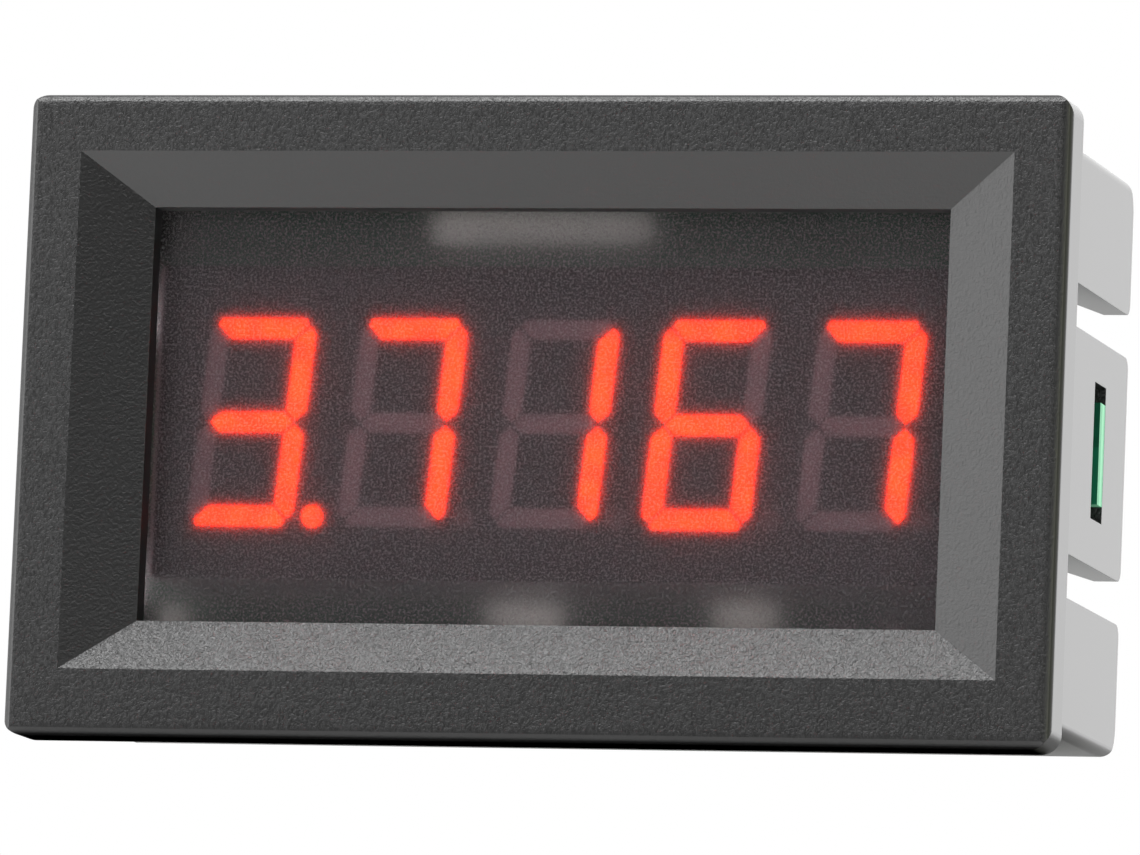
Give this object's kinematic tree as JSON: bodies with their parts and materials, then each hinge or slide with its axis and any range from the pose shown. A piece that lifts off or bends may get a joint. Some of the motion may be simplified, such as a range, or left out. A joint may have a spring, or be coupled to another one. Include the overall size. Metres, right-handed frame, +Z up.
{
  "type": "digital panel meter",
  "caption": "Small panel-mounted digital meter: red seven-segment display behind a smoked window in a black snap-together bezel housing, with circuit board and rear wiring header.",
  "frame": {"origin": "middle of the bezel, on the panel's face, where the back of the bezel seats", "axes": "+X to the reader's right along the display, +Y back through the panel, +Z up"},
  "size_m": [0.048, 0.0201, 0.029],
  "materials": {
    "housing_black": "fine moulded grain",
    "smoked_window": "polished, smoked",
    "display_black": "matt printed face",
    "lit_red": "glowing, diffusing resin",
    "unlit_grey": "diffusing resin",
    "led_chip": "bare",
    "display_board": "bare laminate",
    "sealing_resin": "cast",
    "board_green": "solder mask over laminate",
    "tinned": "tinned",
    "solder": "bright solder",
    "chip_black": "moulded, fine grain",
    "tantalum": "moulded",
    "ceramic_tan": "fired",
    "header_white": "moulded nylon"
  },
  "bodies": {
    "root": {"housing": "housing_black", "window_filter": "smoked_window", "display_case": "display_black", "lit_segments": "lit_red", "unlit_segments": "unlit_grey", "lit_point": "lit_red", "unlit_points": "unlit_grey", "chip_board": "display_board", "light_chips": "led_chip", "display_resin": "sealing_resin", "display_pins": "tinned", "circuit_board": "board_green", "pin_solder": "solder", "microcontroller": "chip_black", "microcontroller_leads": "tinned", "converter_chip": "chip_black", "converter_leads": "tinned", "regulator": "chip_black", "regulator_leads": "tinned", "reference_chip": "chip_black", "reference_leads": "tinned", "guard_diode": "chip_black", "diode_leads": "tinned", "input_capacitor": "tantalum", "capacitor_straps": "tinned", "chip_capacitors": "ceramic_tan", "chip_resistors": "chip_black", "chip_ends": "tinned", "header_shell": "header_white", "header_pins": "tinned", "header_solder": "solder"}
  },
  "joints": []
}
